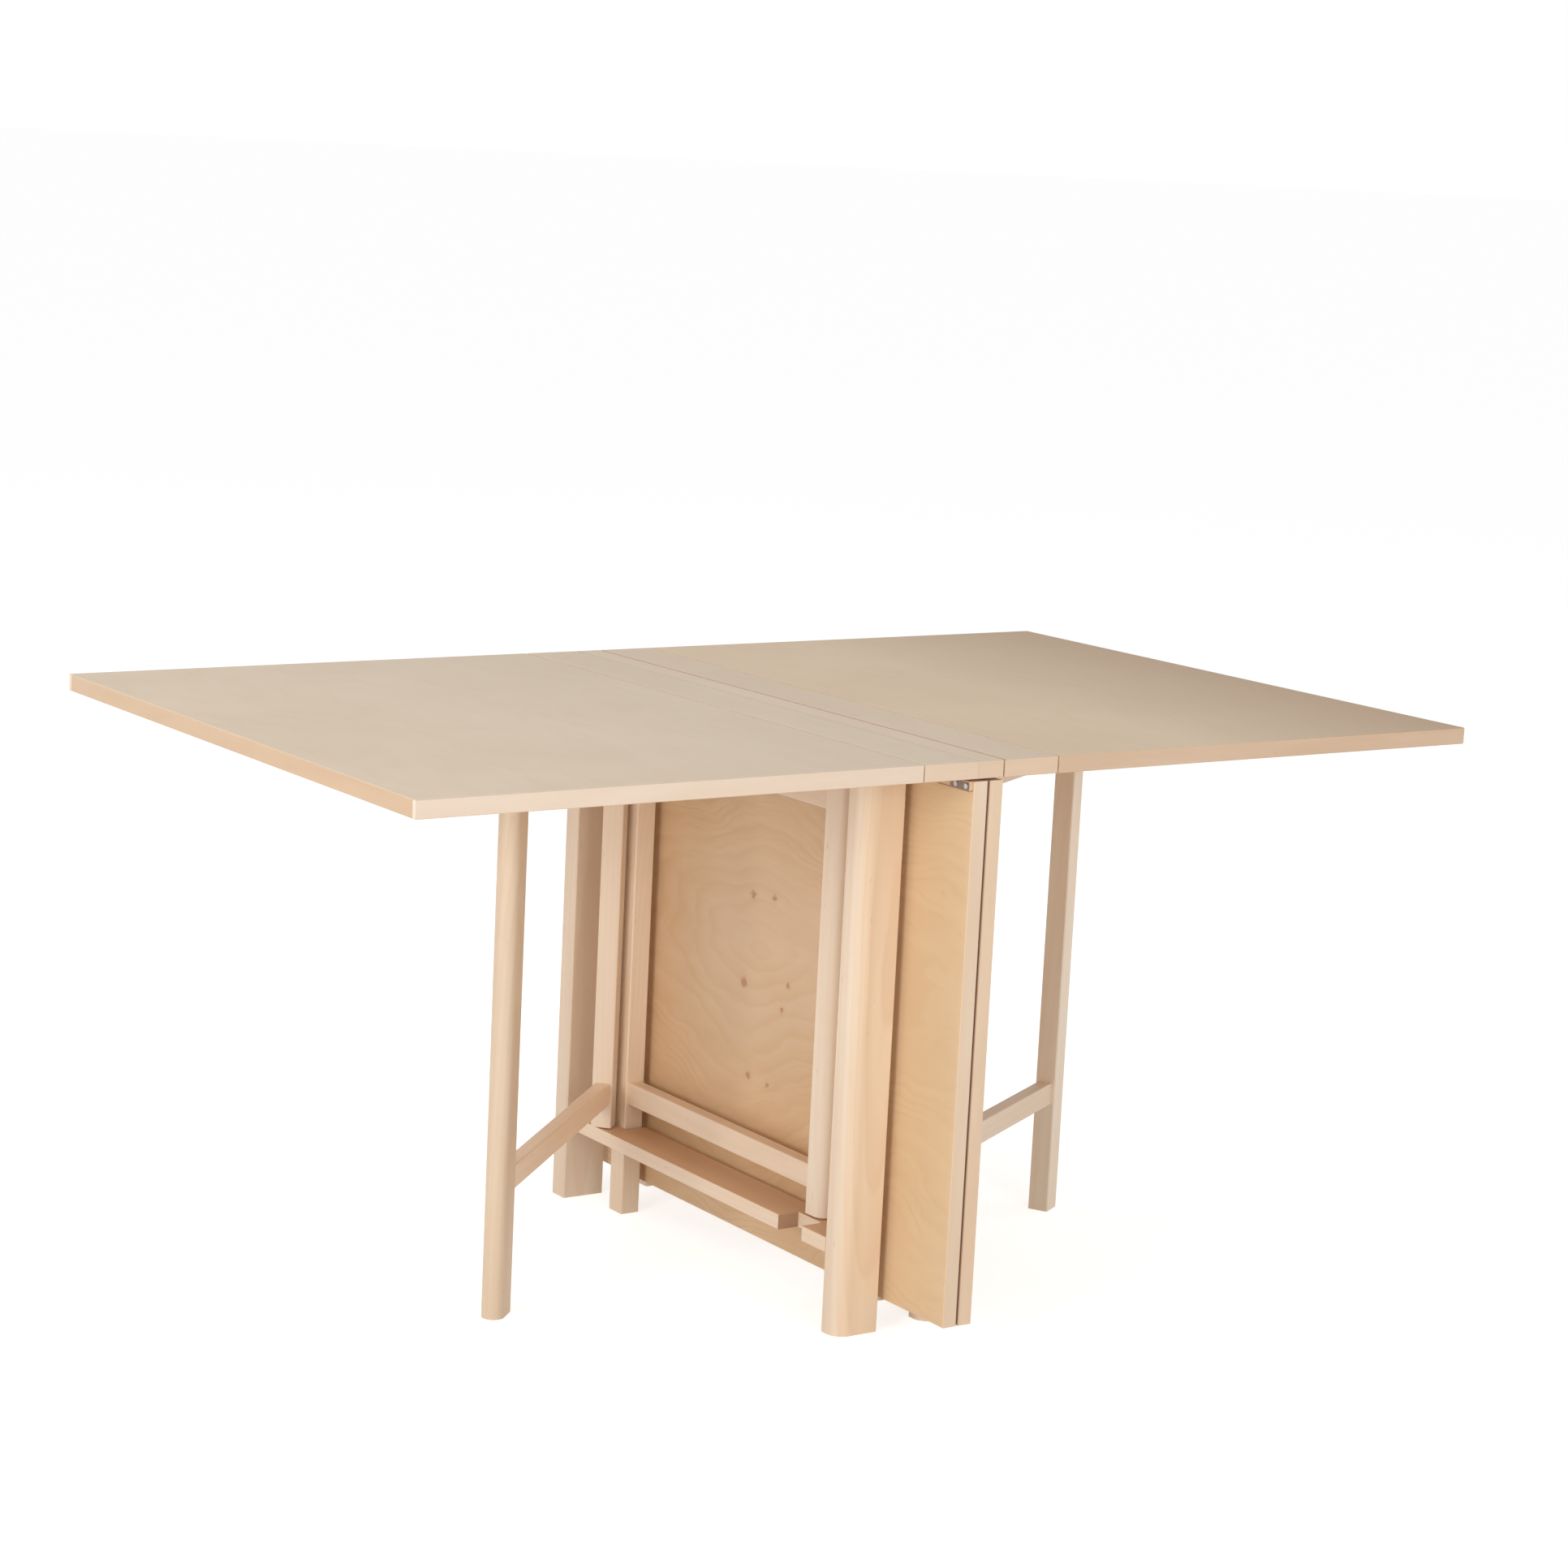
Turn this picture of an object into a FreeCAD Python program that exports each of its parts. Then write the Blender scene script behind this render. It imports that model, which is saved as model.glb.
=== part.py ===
import FreeCAD, Part
import math
import os

# Butterfly folding table in birch: two narrow free-standing half frames side by side.
# Each half carries a fixed board, an outer drop leaf and two swinging gates. Two inner
# leaves hang back to back between the halves and bridge them when they are drawn apart.
# Millimetres. +Z is up, X runs along the top, the origin is on the floor under its centre.

# Whole table
LENGTH = 1510.0
WIDTH = 900.0
HEIGHT = 720.0
BOARD_T = 21.0
UNDERSIDE = HEIGHT - BOARD_T

# Seams between the boards of the top
LEAF_SEAM_X = 97.5
LEAF_SEAM_GAP = 1.5
SPLIT_X = 17.5
SPLIT_GAP = 2.0
LIP_STRIP_W = 36.0
LIPPING_T = 6.0
EDGE_R = 1.2

# Half frame: two wide legs, a rail under the board and a bottom plank
FRAME_X = 65.5
LEG_W = 61.0
LEG_D = 31.0
LEG_INNER_Y = 303.0
LEG_CORNER_R = 20.0
SOFT_R = 2.0
PLANK_W = 60.0
PLANK_T = 19.0
PLANK_TOP = 118.0
RAIL_T = 20.0
TENON_W = 40.0
TENON_T = 9.0
TENON_L = 18.0
NOTCH_DEPTH = 29.5
NOTCH_Y0 = 202.0
NOTCH_Y1 = 252.0

# Gates
GATE_T = 28.0
GATE_OFFSET_X = 15.0
PIVOT_Y = 232.0
POST_FACE = 19.0
OUTER_REACH = 461.0
INNER_REACH = 455.0
OUTER_LEG_D = 42.0
INNER_LEG_D = 31.0
GATE_BAR_T = 20.0
STRETCHER_Z = 150.0
STRETCHER_H = 30.0
GATE_RAIL_Z = 623.0
GATE_RAIL_H = 50.0
GATE_TENON_T = 10.0
GATE_TENON_L = 14.0
PIVOT_GAP = 2.0
PIN_R = 4.0
PIN_CLEARANCE = 0.05
COLLAR_R = 8.0
PIN_IN_POST = 26.0
PIN_IN_RAIL = 14.0
LEAF_GAP = 0.3
LEFT_OPEN = 47.6
RIGHT_OPEN = 60.5

# Inner leaves, hanging with their top faces together
INNER_T = 20.0
INNER_GAP = 2.0
INNER_LEN = 658.0
INNER_TOP = 696.0
INNER_FACE_X = 17.5

# Butt hinges
HINGE_LEN = 60.0
BARREL_R = 3.0
HINGE_PIN_R = 1.3
PLATE_T = 1.6
PLATE_W = 26.0
SEGMENTS = 3
SEGMENT_GAP = 0.3
BARREL_REACH = 0.45
OUTER_HINGE_Y = (-392.0, 392.0)
INNER_BARREL_R = 2.0
INNER_PIN_R = 0.9
INNER_AXIS_X = 19.65
INNER_AXIS_Z = 697.85
INNER_REBATE_R = 2.7
INNER_PLATE_W = 12.0
INNER_HINGE_Y = (-392.0, 392.0)
SCREW_R = 1.9
SCREW_HEAD_R = 3.4
SCREW_L = 13.0
SCREW_HEAD_H = 1.5

# Concealed hinges in the lower edges of the inner leaves
CUP_R = 6.0
CUP_DEPTH = 17.0
LINK_T = 2.0
LINK_W = 8.0
CONCEALED_Y = (-360.0, 360.0)

# Battens on the outer side of the left inner leaf, by its free end, each with a steel plate
BATTEN_T = 5.0
BATTEN_Y0 = 386.0
BATTEN_LEN = 62.0
BATTEN_H = 12.0
BATTEN_PLATE_T = 1.0
BATTEN_PLATE_LEN = 36.0
BATTEN_PLATE_H = 9.0
BATTEN_SCREW_INSETS = (5.5, 25.5)
PAN_R = 3.2
PAN_H = 2.0
BATTEN_SCREW_L = 18.0

Z_AXIS = FreeCAD.Vector(0, 0, 1)
Y_AXIS = FreeCAD.Vector(0, 1, 0)
X_AXIS = FreeCAD.Vector(1, 0, 0)


def box(x0, x1, y0, y1, z0, z1):
    return Part.makeBox(x1 - x0, y1 - y0, z1 - z0, FreeCAD.Vector(x0, y0, z0))


def rod(radius, x, y, z0, z1):
    """An upright cylinder."""
    return Part.makeCylinder(radius, z1 - z0, FreeCAD.Vector(x, y, z0), Z_AXIS)


def prism(radius, z0, z1, sides=8):
    """An upright prism about the Z axis, for small round pieces."""
    angles = [2 * math.pi * (i + 0.5) / sides for i in range(sides)]
    corners = [FreeCAD.Vector(radius * math.cos(a), radius * math.sin(a), z0) for a in angles]
    return Part.Face(Part.makePolygon(corners + corners[:1])).extrude(Z_AXIS * (z1 - z0))


def rod_y(radius, x, z, y0, y1):
    """A cylinder lying across the table."""
    return Part.makeCylinder(radius, y1 - y0, FreeCAD.Vector(x, y0, z), Y_AXIS)


def softened(solid, radius, axes="xyz"):
    """Rounds the straight outer edges that run along the named axes."""
    size = solid.BoundBox
    limits = {
        "x": (size.XMin, size.XMax),
        "y": (size.YMin, size.YMax),
        "z": (size.ZMin, size.ZMax),
    }
    chosen = []
    for edge in solid.Edges:
        a = edge.Vertexes[0].Point
        b = edge.Vertexes[-1].Point
        along = b - a
        for axis, other in (("x", "yz"), ("y", "xz"), ("z", "xy")):
            if axis not in axes or abs(getattr(along, axis)) < 0.9 * along.Length or along.Length == 0:
                continue
            at_limits = [min(abs(getattr(a, o) - limit) for limit in limits[o]) < 0.01 for o in other]
            if all(at_limits):
                chosen.append(edge)
    return solid.makeFillet(radius, chosen) if chosen else solid


def turned(shape, degrees, x=0.0, y=0.0):
    copy = shape.copy()
    copy.rotate(FreeCAD.Vector(x, y, 0), Z_AXIS, degrees)
    return copy


def other_half(shape):
    """The same piece in the right half: the left one turned half round about the table's centre."""
    return turned(shape, 180)


def save(name, *solids):
    shape = solids[0] if len(solids) == 1 else Part.makeCompound(list(solids))
    shape.exportStep("parts/" + name + ".step")


# Top boards --------------------------------------------------------------------------------

def board(x0, x1, thickness=BOARD_T, z1=HEIGHT, ends=(True, True)):
    """A veneered core, and its solid lipping: two long strips and one across each free end."""
    y0 = -WIDTH / 2
    y1 = WIDTH / 2
    z0 = z1 - thickness
    core_x0 = x0 + LIPPING_T if ends[0] else x0
    core_x1 = x1 - LIPPING_T if ends[1] else x1
    core = box(core_x0, core_x1, y0 + LIPPING_T, y1 - LIPPING_T, z0, z1)
    strips = [box(x0, x1, y0, y0 + LIPPING_T, z0, z1), box(x0, x1, y1 - LIPPING_T, y1, z0, z1)]
    if ends[0]:
        strips.append(box(x0, core_x0, y0 + LIPPING_T, y1 - LIPPING_T, z0, z1))
    if ends[1]:
        strips.append(box(core_x1, x1, y0 + LIPPING_T, y1 - LIPPING_T, z0, z1))
    rounded = softened(box(x0, x1, y0, y1, z0, z1), EDGE_R, "xy")
    return core.common(rounded), [strip.common(rounded) for strip in strips]


def left_board():
    return board(-LEAF_SEAM_X + LEAF_SEAM_GAP / 2, SPLIT_X - SPLIT_GAP / 2 - LIP_STRIP_W, ends=(True, False))


def left_lip_strip():
    """The solid strip along the left board's inner edge, which covers the hanging leaves."""
    x1 = SPLIT_X - SPLIT_GAP / 2
    strip = softened(box(x1 - LIP_STRIP_W - 5, x1, -WIDTH / 2, WIDTH / 2, UNDERSIDE, HEIGHT), EDGE_R, "xy")
    return strip.cut(box(x1 - LIP_STRIP_W - 6, x1 - LIP_STRIP_W, -WIDTH, WIDTH, 0, 2 * HEIGHT))


def right_board():
    return board(SPLIT_X + SPLIT_GAP / 2, LEAF_SEAM_X - LEAF_SEAM_GAP / 2)


def left_outer_leaf():
    return board(-LENGTH / 2, -LEAF_SEAM_X - LEAF_SEAM_GAP / 2)


def right_outer_leaf():
    return board(LEAF_SEAM_X + LEAF_SEAM_GAP / 2, LENGTH / 2)


def hanging_leaf(face_x, hinge_side):
    """An inner leaf hanging upright, its underside at face_x and its thickness away from hinge_side."""
    far_x = face_x - hinge_side * INNER_T
    x0 = min(face_x, far_x)
    x1 = max(face_x, far_x)
    y1 = WIDTH / 2
    z0 = INNER_TOP - INNER_LEN
    outline = softened(box(x0, x1, -y1, y1, z0, INNER_TOP), EDGE_R, "yz")
    core_y = y1 - LIPPING_T
    core_z0 = z0 + LIPPING_T
    core_z1 = INNER_TOP - LIPPING_T
    core = outline.common(box(x0, x1, -core_y, core_y, core_z0, core_z1))
    strips = []
    for ya, yb, za, zb in (
        (-y1, -core_y, z0, INNER_TOP),
        (core_y, y1, z0, INNER_TOP),
        (-core_y, core_y, z0, core_z0),
        (-core_y, core_y, core_z1, INNER_TOP),
    ):
        strips.append(outline.common(box(x0, x1, ya, yb, za, zb)))
    return core, strips


# Half frame --------------------------------------------------------------------------------

def tenon(y0, y1, z_mid):
    x0 = -FRAME_X - TENON_W / 2
    z0 = z_mid - TENON_T / 2
    return box(x0, x0 + TENON_W, y0, y1, z0, z0 + TENON_T)


def wide_leg(side):
    """A wide leg of the left half, at the front (side -1) or back (side 1), with one outer corner rounded."""
    x0 = -FRAME_X - LEG_W / 2
    x1 = -FRAME_X + LEG_W / 2
    y0 = min(side * LEG_INNER_Y, side * (LEG_INNER_Y + LEG_D))
    leg = box(x0, x1, y0, y0 + LEG_D, 0, UNDERSIDE)
    corner_x = x0 if side < 0 else x1
    corner_y = side * (LEG_INNER_Y + LEG_D)
    big = []
    small = []
    for edge in leg.Edges:
        a = edge.Vertexes[0].Point
        b = edge.Vertexes[-1].Point
        if abs(a.x - b.x) > 0.01 or abs(a.y - b.y) > 0.01:
            continue
        at_corner = abs(a.x - corner_x) < 0.01 and abs(a.y - corner_y) < 0.01
        (big if at_corner else small).append(edge)
    leg = leg.makeFillet(LEG_CORNER_R, big)
    small = [e for e in leg.Edges if any(e.CenterOfMass.isEqual(s.CenterOfMass, 0.01) for s in small)]
    leg = leg.makeFillet(SOFT_R, small)
    near, far = sorted((side * LEG_INNER_Y, side * (LEG_INNER_Y + TENON_L)))
    for z_mid in (PLANK_TOP - PLANK_T / 2, UNDERSIDE - RAIL_T / 2):
        leg = leg.cut(tenon(near, far, z_mid))
    return leg


def cross_board(z_top, thickness):
    """A board between the wide legs: two notches take the closed gates' legs, two bores their pivots."""
    x0 = -FRAME_X - PLANK_W / 2
    x1 = -FRAME_X + PLANK_W / 2
    z0 = z_top - thickness
    plank = box(x0, x1, -LEG_INNER_Y, LEG_INNER_Y, z0, z_top)
    plank = plank.cut(box(x0 - 1, x0 + NOTCH_DEPTH, -NOTCH_Y1, -NOTCH_Y0, z0 - 1, z_top + 1))
    plank = plank.cut(box(x1 - NOTCH_DEPTH, x1 + 1, NOTCH_Y0, NOTCH_Y1, z0 - 1, z_top + 1))
    plank = softened(plank, EDGE_R, "y")
    for side in (-1, 1):
        near, far = sorted((side * LEG_INNER_Y, side * (LEG_INNER_Y + TENON_L)))
        plank = plank.fuse(tenon(near, far, z0 + thickness / 2))
    return plank.removeSplitter()


def pivots():
    """Pivot axes of the left half: the outer gate's at the back, the inner gate's at the front."""
    return ((-FRAME_X - GATE_OFFSET_X, PIVOT_Y), (-FRAME_X + GATE_OFFSET_X, -PIVOT_Y))


def bottom_plank():
    plank = cross_board(PLANK_TOP, PLANK_T)
    for x, y in pivots():
        plank = plank.cut(rod(PIN_R + PIN_CLEARANCE, x, y, PLANK_TOP - PIN_IN_RAIL - 1, PLANK_TOP + 1))
    return plank


def top_rail():
    rail = cross_board(UNDERSIDE, RAIL_T)
    z0 = UNDERSIDE - RAIL_T
    for x, y in pivots():
        rail = rail.cut(rod(PIN_R + PIN_CLEARANCE, x, y, z0 - 1, z0 + PIN_IN_RAIL + 1))
    return rail


# Gates -------------------------------------------------------------------------------------
# Each gate is modelled with its pivot on the Z axis and its leg towards -Y, then turned and moved.

def bar_tenon(y0, y1, z0, height):
    return box(-GATE_TENON_T / 2, GATE_TENON_T / 2, y0, y1, z0 + 5, z0 + height - 5)


def gate_post():
    """The hinge post: its heel is half round about the pivot, so it turns clear of its neighbour."""
    z0 = PLANK_TOP + PIVOT_GAP
    z1 = UNDERSIDE - RAIL_T - PIVOT_GAP
    half = GATE_T / 2
    post = box(-half, half, -POST_FACE, 0, z0, z1)
    corners = [e for e in post.Edges if abs(e.CenterOfMass.y + POST_FACE) < 0.01
               and abs(abs(e.CenterOfMass.x) - half) < 0.01 and abs(e.CenterOfMass.z - (z0 + z1) / 2) < 1]
    post = post.makeFillet(SOFT_R, corners).fuse(rod(half, 0, 0, z0, z1)).removeSplitter()
    post = post.cut(rod(PIN_R, 0, 0, z0 - 1, z0 + PIN_IN_POST))
    post = post.cut(rod(PIN_R, 0, 0, z1 - PIN_IN_POST, z1 + 1))
    post = post.cut(bar_tenon(-POST_FACE, -POST_FACE + GATE_TENON_L, STRETCHER_Z, STRETCHER_H))
    return post.cut(bar_tenon(-POST_FACE, -POST_FACE + GATE_TENON_L, GATE_RAIL_Z, GATE_RAIL_H))


def gate_pins():
    """Two steel pivot pins, each with a collar that keeps the post clear of the plank and the rail."""
    low = PLANK_TOP + PIVOT_GAP
    high = UNDERSIDE - RAIL_T - PIVOT_GAP
    bottom = rod(PIN_R, 0, 0, PLANK_TOP - PIN_IN_RAIL, low + PIN_IN_POST - 1)
    bottom = bottom.fuse(prism(COLLAR_R, PLANK_TOP + PIN_CLEARANCE, low, 12))
    top = rod(PIN_R, 0, 0, high - PIN_IN_POST + 1, high + PIVOT_GAP + PIN_IN_RAIL)
    top = top.fuse(prism(COLLAR_R, high, high + PIVOT_GAP - PIN_CLEARANCE, 12))
    return [bottom.removeSplitter(), top.removeSplitter()]


def gate_bar(reach, leg_depth, z0, height):
    """A stretcher or gate rail between post and leg, with a tenon at each end."""
    near = -POST_FACE
    far = -(reach - leg_depth / 2)
    bar = softened(box(-GATE_BAR_T / 2, GATE_BAR_T / 2, far, near, z0, z0 + height), SOFT_R, "y")
    tenons = bar_tenon(far - GATE_TENON_L, near + GATE_TENON_L, z0, height)
    return bar.fuse(tenons).removeSplitter()


def mortised(leg, reach, leg_depth):
    face = -(reach - leg_depth / 2)
    for z0, height in ((STRETCHER_Z, STRETCHER_H), (GATE_RAIL_Z, GATE_RAIL_H)):
        leg = leg.cut(bar_tenon(face - GATE_TENON_L, face, z0, height))
    return leg


def outer_gate_leg():
    """The outer gate's leg: flat towards the post and half round on its far side."""
    near = -(OUTER_REACH - OUTER_LEG_D / 2)
    far = -(OUTER_REACH + OUTER_LEG_D / 2)
    half = GATE_T / 2
    round_y = far + half
    profile = Part.Wire([
        Part.makeLine(FreeCAD.Vector(-half, near, 0), FreeCAD.Vector(half, near, 0)),
        Part.makeLine(FreeCAD.Vector(half, near, 0), FreeCAD.Vector(half, round_y, 0)),
        Part.Arc(FreeCAD.Vector(half, round_y, 0), FreeCAD.Vector(0, far, 0),
                 FreeCAD.Vector(-half, round_y, 0)).toShape(),
        Part.makeLine(FreeCAD.Vector(-half, round_y, 0), FreeCAD.Vector(-half, near, 0)),
    ])
    leg = Part.Face(profile).extrude(FreeCAD.Vector(0, 0, UNDERSIDE - LEAF_GAP))
    corners = [e for e in leg.Edges if abs(e.CenterOfMass.y - near) < 0.01 and e.CenterOfMass.z > 1
               and abs(abs(e.CenterOfMass.x) - half) < 0.01]
    return mortised(leg.makeFillet(SOFT_R, corners), OUTER_REACH, OUTER_LEG_D)


def inner_gate_leg():
    """The inner gate's leg, square in section."""
    near = -(INNER_REACH - INNER_LEG_D / 2)
    far = -(INNER_REACH + INNER_LEG_D / 2)
    leg = softened(box(-GATE_T / 2, GATE_T / 2, far, near, 0, UNDERSIDE - LEAF_GAP), SOFT_R, "z")
    return mortised(leg, INNER_REACH, INNER_LEG_D)


def save_gate(name, x, y, degrees, outer):
    reach = OUTER_REACH if outer else INNER_REACH
    depth = OUTER_LEG_D if outer else INNER_LEG_D
    pieces = {
        "post": [gate_post()],
        "leg": [outer_gate_leg() if outer else inner_gate_leg()],
        "stretcher": [gate_bar(reach, depth, STRETCHER_Z, STRETCHER_H)],
        "rail": [gate_bar(reach, depth, GATE_RAIL_Z, GATE_RAIL_H)],
        "pivot_pins": gate_pins(),
    }
    for piece, solids in pieces.items():
        placed = [turned(solid, degrees) for solid in solids]
        for solid in placed:
            solid.translate(FreeCAD.Vector(x, y, 0))
        save(name + "_" + piece, *placed)


# Hinges ------------------------------------------------------------------------------------

def segment_spans(y, own):
    """The stretches of a barrel that belong to one hinge leaf: the odd ones, or the even ones."""
    pitch = HINGE_LEN / SEGMENTS
    spans = []
    for i in range(SEGMENTS):
        if (i % 2 == 0) == own:
            start = y - HINGE_LEN / 2 + i * pitch
            spans.append((start + SEGMENT_GAP / 2, start + pitch - SEGMENT_GAP / 2))
    return spans


def hinge_leaf(axis_x, axis_z, barrel_r, bore_r, y, side, width, carries_pin):
    """A flat hinge leaf under a board, on one side (-1 or 1) of its barrel, with its barrel stretches."""
    x_near = axis_x + side * (barrel_r + BARREL_REACH)
    x_far = axis_x + side * width
    y0 = y - HINGE_LEN / 2
    plate = box(min(x_near, x_far), max(x_near, x_far), y0, y0 + HINGE_LEN, UNDERSIDE - PLATE_T, UNDERSIDE)
    for a, b in segment_spans(y, carries_pin):
        tongue = box(min(axis_x, x_near), max(axis_x, x_near), a, b, UNDERSIDE - PLATE_T, UNDERSIDE)
        plate = plate.fuse(tongue).fuse(rod_y(barrel_r, axis_x, axis_z, a, b))
    plate = plate.removeSplitter()
    return plate.cut(rod_y(bore_r, axis_x, axis_z, y0 - 1, y0 + HINGE_LEN + 1))


def wood_screw(at, direction, head_r=SCREW_HEAD_R, head_h=SCREW_HEAD_H, length=SCREW_L):
    """A wood screw: the face of its head at one point, its shank along a direction."""
    screw = prism(head_r, 0, head_h).fuse(prism(SCREW_R, head_h, length)).removeSplitter()
    screw.Placement = FreeCAD.Placement(at, FreeCAD.Rotation(Z_AXIS, direction))
    return screw


def plate_screws(axis_x, y_places, side, width):
    """Two screws through each hinge plate under a board."""
    x = axis_x + side * (width / 2 + 1.2)
    spread = HINGE_LEN / 2 - 10
    z = UNDERSIDE - PLATE_T
    return [wood_screw(FreeCAD.Vector(x, y + k * spread, z), Z_AXIS) for y in y_places for k in (-1, 1)]


def leaf_plate(y):
    """The inner leaf's hinge plate: flat on the leaf's underside, its barrel just above the leaf's end."""
    y0 = y - HINGE_LEN / 2
    x1 = INNER_FACE_X + PLATE_T
    plate = box(INNER_FACE_X, x1, y0, y0 + HINGE_LEN, INNER_TOP - PLATE_W, INNER_TOP - 0.1)
    for a, b in segment_spans(y, False):
        tongue = box(INNER_AXIS_X - INNER_BARREL_R, x1, a, b, INNER_TOP - 1, INNER_AXIS_Z)
        plate = plate.fuse(tongue).fuse(rod_y(INNER_BARREL_R, INNER_AXIS_X, INNER_AXIS_Z, a, b))
    plate = plate.removeSplitter()
    bore = rod_y(INNER_PIN_R + PIN_CLEARANCE, INNER_AXIS_X, INNER_AXIS_Z, y0 - 1, y0 + HINGE_LEN + 1)
    return plate.cut(bore)


def leaf_screws(y):
    """Two screws through the inner leaf's hinge plate."""
    spread = HINGE_LEN / 2 - 10
    x = INNER_FACE_X + PLATE_T
    z = INNER_TOP - PLATE_W + 9
    return [wood_screw(FreeCAD.Vector(x, y + k * spread, z), X_AXIS * -1) for k in (-1, 1)]


def hinge_pins(axis_x, axis_z, radius, y_places):
    half = HINGE_LEN / 2
    return [rod_y(radius, axis_x, axis_z, y - half, y + half) for y in y_places]


def concealed_cups(y):
    """The two barrels of a concealed hinge, let into the lower edges of the inner leaves."""
    z0 = INNER_TOP - INNER_LEN
    middle = INNER_FACE_X - INNER_T - INNER_GAP / 2
    offset = (INNER_T + INNER_GAP) / 2
    return [rod(CUP_R, middle + k * offset, y, z0, z0 + CUP_DEPTH) for k in (-1, 1)]


def concealed_link(y):
    """The link between the two barrels, across the gap below the leaves' lower edges."""
    z0 = INNER_TOP - INNER_LEN
    middle = INNER_FACE_X - INNER_T - INNER_GAP / 2
    offset = (INNER_T + INNER_GAP) / 2
    bar = box(middle - offset, middle + offset, y - LINK_W / 2, y + LINK_W / 2, z0 - LINK_T, z0)
    for k in (-1, 1):
        bar = bar.fuse(rod(LINK_W / 2, middle + k * offset, y, z0 - LINK_T, z0))
    return bar.removeSplitter()


# Battens on the left inner leaf -------------------------------------------------------------

def leaf_batten(side):
    y0 = min(side * BATTEN_Y0, side * (BATTEN_Y0 + BATTEN_LEN))
    face = INNER_FACE_X - 2 * INNER_T - INNER_GAP
    batten = box(face - BATTEN_T, face, y0, y0 + BATTEN_LEN, INNER_TOP - BATTEN_H, INNER_TOP)
    return softened(batten, 0.8, "z")


def batten_plate(side):
    """The steel plate on the batten, at the end by the table's edge."""
    y_out = side * (BATTEN_Y0 + BATTEN_LEN - 0.5)
    y_in = y_out - side * BATTEN_PLATE_LEN
    face = INNER_FACE_X - 2 * INNER_T - INNER_GAP - BATTEN_T
    z0 = INNER_TOP - (BATTEN_H + BATTEN_PLATE_H) / 2
    plate = box(face - BATTEN_PLATE_T, face, min(y_in, y_out), max(y_in, y_out), z0, z0 + BATTEN_PLATE_H)
    return softened(plate, 3.0, "x")


def batten_screws(side):
    """Two pan-head screws through the steel plate and the batten into the leaf."""
    y_out = side * (BATTEN_Y0 + BATTEN_LEN)
    z = INNER_TOP - BATTEN_H / 2
    face = INNER_FACE_X - 2 * INNER_T - INNER_GAP - BATTEN_T - BATTEN_PLATE_T
    places = [FreeCAD.Vector(face - PAN_H, y_out - side * inset, z) for inset in BATTEN_SCREW_INSETS]
    return [wood_screw(place, X_AXIS, PAN_R, PAN_H, BATTEN_SCREW_L) for place in places]


# Assembly ----------------------------------------------------------------------------------

def seated(holder, inserts):
    """The holder with room cut for what is driven or let into it."""
    for solid in inserts:
        holder = holder.cut(solid)
    return holder


def save_top():
    outer_z = UNDERSIDE - BARREL_R
    frame_screws = {-1: [], 1: []}
    for side, name in ((-1, "left"), (1, "right")):
        axis_x = side * LEAF_SEAM_X
        board_screws = plate_screws(axis_x, OUTER_HINGE_Y, -side, PLATE_W)
        outer_screws = plate_screws(axis_x, OUTER_HINGE_Y, side, PLATE_W)
        board_plates = []
        outer_plates = []
        for y in OUTER_HINGE_Y:
            bore_r = HINGE_PIN_R + PIN_CLEARANCE
            board_plates.append(hinge_leaf(axis_x, outer_z, BARREL_R, HINGE_PIN_R, y, -side, PLATE_W, True))
            outer_plates.append(hinge_leaf(axis_x, outer_z, BARREL_R, bore_r, y, side, PLATE_W, False))
        core, strips = left_outer_leaf() if side < 0 else right_outer_leaf()
        save(name + "_outer_leaf", seated(core, outer_screws))
        save(name + "_outer_leaf_lipping", *[seated(strip, outer_screws) for strip in strips])
        save(name + "_outer_leaf_hinge_plates", *[seated(plate, outer_screws) for plate in outer_plates])
        save(name + "_outer_leaf_screws", *outer_screws)
        save(name + "_board_hinge_plates", *[seated(plate, board_screws) for plate in board_plates])
        save(name + "_board_hinge_pins", *hinge_pins(axis_x, outer_z, HINGE_PIN_R, OUTER_HINGE_Y))
        frame_screws[side] = board_screws
    return frame_screws


def save_left_board(board_screws):
    core, strips = left_board()
    save("left_board", seated(core, board_screws))
    save("left_board_lipping", *[seated(strip, board_screws) for strip in strips])
    save("left_lip_strip", left_lip_strip())
    save("left_board_screws", *board_screws)


def save_right_board(board_screws):
    inner_screws = plate_screws(INNER_AXIS_X, INNER_HINGE_Y, 1, INNER_PLATE_W)
    screws = board_screws + inner_screws
    half = HINGE_LEN / 2 + 1
    rebates = [rod_y(INNER_REBATE_R, INNER_AXIS_X, INNER_AXIS_Z, y - half, y + half) for y in INNER_HINGE_Y]
    core, strips = right_board()
    save("right_board", seated(core, screws))
    save("right_board_lipping", *[seated(strip, screws + rebates) for strip in strips])
    plates = [hinge_leaf(INNER_AXIS_X, INNER_AXIS_Z, INNER_BARREL_R, INNER_PIN_R, y, 1, INNER_PLATE_W, True)
              for y in INNER_HINGE_Y]
    save("inner_hinge_board_plates", *[seated(plate, inner_screws) for plate in plates])
    save("inner_hinge_pins", *hinge_pins(INNER_AXIS_X, INNER_AXIS_Z, INNER_PIN_R, INNER_HINGE_Y))
    save("right_board_screws", *screws)


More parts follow.
